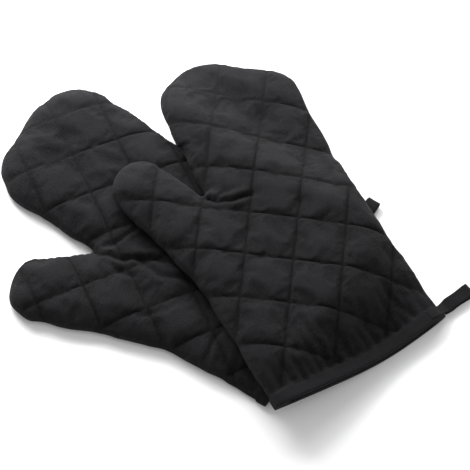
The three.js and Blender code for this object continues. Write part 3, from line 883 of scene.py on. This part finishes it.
def cuff_ring(mitt, u, up, stand, inner):
    """Places round the mouth: u runs 0 to 1 over the back and 1 to 2 under the palm."""
    back_of_hand = u <= 1
    t = np.where(back_of_hand, u, 2 - u)
    t = (1 - np.cos(np.pi * t)) / 2
    rise = np.maximum(up, 0)
    side = mitt.rim[:4], mitt.rim[-4:][::-1]
    left = np.interp(rise, side[0][:, 1], side[0][:, 0])
    right = np.interp(rise, side[1][:, 1], side[1][:, 0])
    inset = np.where(inner, 11.0, 0.0)
    x = mix(left + inset, right - inset, t)
    y = mitt.cuff(x) + rise
    p = np.column_stack([x, np.maximum(y, mitt.cuff(x) + 0.01)])
    puff, space, middle, _, _ = mitt.section(p)
    end = np.minimum(t, 1 - t) * (right - left - 2 * inset)
    close = np.sqrt(1 - (1 - np.minimum(1, end / 7)) ** 2)
    half = np.where(inner, (space - stand) * close, puff + stand * np.sqrt(np.minimum(1, puff / 2)))
    side_step = np.where(inner, 0.0, stand * np.sign(t - 0.5) * np.exp(-end / 1.5))
    flat = np.column_stack([x + side_step, mitt.cuff(x) + up])
    return flat, middle + np.where(back_of_hand, half, -half)


def make_binding(mitt):
    """Tape folded over the cuff edge, all the way round."""
    piece, spots = flat_tape(f"{mitt.name}_cuff_tape", BINDING_COLUMNS, BINDING_ROWS)
    u, v = spots[:, 0] * 2, spots[:, 1]
    row = np.round(v * BINDING_ROWS).astype(int)
    up = np.array(BINDING_RISES)[row]
    ripple = 0.5 + 0.5 * np.sin(u * 61 + 1.7 * np.sin(u * 17)) * np.sin(u * 23 + mitt.seed)
    up = np.where(row == 0, up + 0.5 * (ripple - 0.5), up)
    stand = BINDING_STAND + 0.34 * ripple * np.where((row > 1) & (row < 7), 1, 0.2)
    outer, outer_z = cuff_ring(mitt, u, up, stand, np.zeros(len(u), bool))
    inner, inner_z = cuff_ring(mitt, u, up, stand, np.ones(len(u), bool))
    over = np.clip((row - 6) / 4.0, 0, 1)
    p = mix(outer, inner, over[:, None])
    lay(piece, spots, mitt.place(p, mix(outer_z, inner_z, over)), 340, 24)
    finish_tape(piece, TAPE * 0.8, TAPE_CLOTH, BINDING_COLUMNS)
    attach(piece, f"{mitt.name}_hand")
    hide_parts(f"{mitt.name}_cuff_binding")


def make_loop(mitt):
    """The hanging loop: the binding's tail folded back on itself."""
    name = f"{mitt.name}_loop_tape"
    lean = math.radians(4 if mitt.name == "upper" else -8)
    x0 = mitt.right + GAP + TAPE + GAP + TAPE_WIDTH * max(0, math.sin(lean))
    high = LOOP_EYE / 2 + TAPE
    centre = max(mitt.section(np.array([[mitt.right, 0.01]]))[2][0], high + 0.1)
    reach = x0 + LOOP_LENGTH[mitt.name] - high
    ply = high - TAPE / 2
    rest_on = np.array([(x0 - k, mitt.cuff(x0 - k) + 5) for k in (15, 11, 7, 4)])
    puff, _, level, _, _ = mitt.section(rest_on)
    on_tape = [(x, z) for x, z in zip(rest_on[:, 0], level + puff - centre + 1.55)]
    ply_path = [(x0 + 4, 1.5), (x0 + 8, ply * 0.86), (x0 + 14, ply * 0.8)]
    ply_path += [(x0 + 20, ply * 0.9), (reach, ply)]
    path = on_tape + ply_path
    path += [(reach + ply * math.cos(a), ply * math.sin(a)) for a in np.radians([60, 30, 0, -30, -60])]
    path += [(x, -z) for x, z in ply_path[::-1]] + [(x0 + 0.1, -0.9)]
    path = resample(np.array(path, float), 1.0)
    for _ in range(3):
        path[1:-1] = 0.25 * path[:-2] + 0.5 * path[1:-1] + 0.25 * path[2:]
    columns = len(path) - 1
    piece, spots = flat_tape(name, columns, 8)
    k = np.round(spots[:, 0] * columns).astype(int)
    along, tall = path[k, 0], path[k, 1]
    out = smooth((along - x0 + 4) / 12)
    width = mix(8.6, LOOP_WIDTH, out)
    across = 1 + (spots[:, 1] - 0.5) * width + mix(4.0, TAPE_WIDTH / 2, out)
    across = across + 0.35 * out * np.sin(along / 4.3) * (spots[:, 1] - 0.5)
    tall = tall + 0.22 * out * np.sin(along / 3.1 + 2 * spots[:, 1])
    flat = np.column_stack([along - x0, across - 1])
    c, s = math.cos(lean), math.sin(lean)
    flat = flat @ np.array([[c, s], [-s, c]]) + (x0, 1)
    lay(piece, spots, mitt.place(flat, centre + tall), len(path), TAPE_WIDTH)
    finish_tape(piece, TAPE * 0.85, TAPE_CLOTH, columns, 0)
    start, end = mitt.spot(x0 - 1, 6, centre), mitt.spot(x0 + 9, 6, centre)
    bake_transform(piece)
    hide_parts(f"{mitt.name}_hanging_loop")
    tack = []
    for k in range(TACK_STITCHES):
        x = x0 + 0.3 + 0.55 * k
        a, b = (x - 0.2, 1.8), (x + 0.2, 10.2)
        tack.append(mitt.place(np.array([a, b]), np.array([centre + 1.05, centre + 1.05])))
    return tack


# ---------------------------------------------------------------- sewing
def one_stitch():
    """A single stitch, one unit long, lying along X."""
    bpy.ops.object.select_all(action="DESELECT")
    bpy.ops.mesh.primitive_uv_sphere_add(segments=6, ring_count=5, radius=0.5)
    piece = bpy.context.object
    piece.data.transform(Matrix.Rotation(math.radians(90), 4, "Y"))
    points = coordinates(piece.data)
    faces = [list(f.vertices) for f in piece.data.polygons]
    mesh = piece.data
    bpy.data.objects.remove(piece)
    bpy.data.meshes.remove(mesh)
    return points, faces


STITCH_POINTS, STITCH_FACES = one_stitch()


def sew(name, starts, ends, ups, thick=STITCH):
    """Copies of the stitch from start to end points, all in one piece."""
    along = ends - starts
    length = np.linalg.norm(along, axis=1)
    along /= length[:, None]
    side = np.cross(ups, along)
    side /= np.linalg.norm(side, axis=1)[:, None]
    over = np.cross(along, side)
    s = STITCH_POINTS
    bow = (0.25 - s[:, 0] ** 2) * 0.0004
    centre = (starts + ends) / 2
    t = thick / 1000
    points = (
        centre[:, None]
        + along[:, None] * (s[:, 0][None, :, None] * length[:, None, None])
        + side[:, None] * (s[:, 1] * t)[None, :, None]
        + over[:, None] * (s[:, 2] * t + bow)[None, :, None]
    )
    n = len(s)
    faces = [[v + k * n for v in f] for k in range(len(starts)) for f in STITCH_FACES]
    piece = new_mesh(name, points.reshape(-1, 3), faces)
    piece.data.polygons.foreach_set("use_smooth", np.ones(len(piece.data.polygons), bool))
    uv = piece.data.uv_layers.new(name="pattern")
    corner = np.zeros(len(piece.data.loops), np.int32)
    piece.data.loops.foreach_get("vertex_index", corner)
    flat = np.column_stack([s[:, 0], s[:, 1]])[corner % n] * 0.02 + (corner // n)[:, None] * 0.013
    uv.data.foreach_set("uv", flat.astype(np.float32).ravel())
    piece.data.materials.append(THREAD)
    return piece


def sew_quilting(mitt, skin):
    """Stitches along every quilting seam, on both faces."""
    points, row, faces = skin["points"], skin["row"], skin["faces"]
    edges = np.unique(np.sort(sides_of(faces), axis=1), axis=0)
    a, b = edges[:, 0], edges[:, 1]
    normal = np.cross(points[faces[:, 1]] - points[faces[:, 0]], points[faces[:, 2]] - points[faces[:, 0]])
    ups = np.zeros_like(points)
    for k in range(3):
        np.add.at(ups, faces[:, k], normal)
    for line, across, step in ((1, ACROSS_WEFT, WEFT_SQUARE / 20), (2, ACROSS_WARP, WARP_SQUARE / 20)):
        start = mitt.weft_start if line == 1 else mitt.warp_start
        here = ((row[a] & line) > 0) & ((row[b] & line) > 0) & (skin["upward"][a] * skin["upward"][b] > 0)
        t = ((skin["net"][a] + skin["net"][b]) / 2 @ across - start) / step
        way = np.abs((skin["net"][b] - skin["net"][a]) @ (ACROSS_WARP if line == 1 else ACROSS_WEFT))
        here &= (np.floor(t).astype(int) % 2 == 0) & (way < 0.05)
        yield a[here], b[here], ups


def make_threads(mitt, skin):
    chosen = [(a, b, ups) for a, b, ups in sew_quilting(mitt, skin)]
    a = np.concatenate([c[0] for c in chosen])
    b = np.concatenate([c[1] for c in chosen])
    ups = chosen[0][2]
    centre = (skin["net"][a] + skin["net"][b]) / 2
    thumb = (centre @ ACROSS_WARP > mitt.split + 0.5) & (centre[:, 0] < mitt.crotch[0])
    for is_thumb in (False, True):
        pick = thumb == is_thumb
        name = f"{mitt.name}_thumb_stitches" if is_thumb else f"{mitt.name}_hand_stitches"
        start, end = skin["points"][a[pick]], skin["points"][b[pick]]
        gap = (end - start) * 0.06
        piece = sew(name, start + gap, end - gap, ups[a[pick]] + ups[b[pick]])
        (bend_thumb if is_thumb else bend_hand)(piece, mitt)


def make_tape_stitches(mitt, tack):
    """The row that holds the binding, and the bar tack on the loop."""
    u = np.linspace(0.02, 0.98, 106)
    u = np.concatenate([u, 1 + u])
    up = np.full(len(u), TAPE_SEAM)
    p, z = cuff_ring(mitt, u, up, np.full(len(u), 1.05), np.zeros(len(u), bool))
    points = mitt.place(p, np.maximum(z, 0.5))
    ups = np.zeros_like(points)
    ups[:, 2] = np.where(u < 1, 1, -1)
    keep = np.arange(0, len(u) - 1, 2)
    keep = keep[np.abs(u[keep] - 1) > 0.03]
    starts = np.vstack([points[keep]] + [t[:1] for t in tack])
    ends = np.vstack([points[keep + 1]] + [t[1:] for t in tack])
    ups = np.vstack([ups[keep], np.tile([0, 0, 1.0], (len(tack), 1))])
    piece = sew(f"{mitt.name}_tape_stitches", starts, ends, ups)
    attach(piece, f"{mitt.name}_hand")


for mitt in (lower, upper):
    skin = make_cover(mitt)
    make_inner(mitt, skin, "wadding", 5.0, WADDING)
    make_inner(mitt, skin, "lining", 3.0, LINING_CLOTH)
    make_threads(mitt, skin)
    make_binding(mitt)
    make_tape_stitches(mitt, make_loop(mitt))

# ---------------------------------------------------------------- camera, light and floor
TARGET = Vector((0.0230, -0.0212, 0.020))
AZIMUTH, ELEVATION = math.radians(-33.7), math.radians(62)
DISTANCE = 2.6
level = math.cos(ELEVATION)
back = Vector((math.sin(AZIMUTH) * level, -math.cos(AZIMUTH) * level, math.sin(ELEVATION)))
bpy.ops.object.camera_add(location=TARGET + back * DISTANCE)
camera = bpy.context.object
camera.rotation_euler = back.to_track_quat("Z", "Y").to_euler()
camera.data.lens = 200
camera.data.sensor_width = 30.5
bpy.context.scene.camera = camera

bpy.ops.mesh.primitive_plane_add(size=8, location=(0, 0, 0))
floor = bpy.context.object
floor.name = "floor"
paint = bpy.data.materials.new("pale_floor")
paint.use_nodes = True
paint.node_tree.nodes["Principled BSDF"].inputs["Base Color"].default_value = (0.93, 0.93, 0.93, 1)
paint.node_tree.nodes["Principled BSDF"].inputs["Roughness"].default_value = 0.9
floor.data.materials.append(paint)


def area_light(name, place, aim, size, power):
    bpy.ops.object.light_add(type="AREA", location=place)
    lamp = bpy.context.object
    lamp.name = name
    lamp.data.size = size
    lamp.data.energy = power
    lamp.rotation_euler = (Vector(place) - Vector(aim)).to_track_quat("Z", "Y").to_euler()


area_light("key", (1.05, 0.9, 0.8), (0, 0, 0), 0.8, 20)
area_light("edge", (0.08, 0.62, 0.36), (0.06, 0.1, 0.02), 0.5, 14)
area_light("fill", (0.3, -1.4, 2.0), (0, 0, 0), 2.2, 9)
world = bpy.data.worlds.new("studio")
world.use_nodes = True
world.node_tree.nodes["Background"].inputs["Color"].default_value = (1, 1, 1, 1)
world.node_tree.nodes["Background"].inputs["Strength"].default_value = 0.5
bpy.context.scene.world = world
bpy.context.scene.view_settings.view_transform = "Standard"
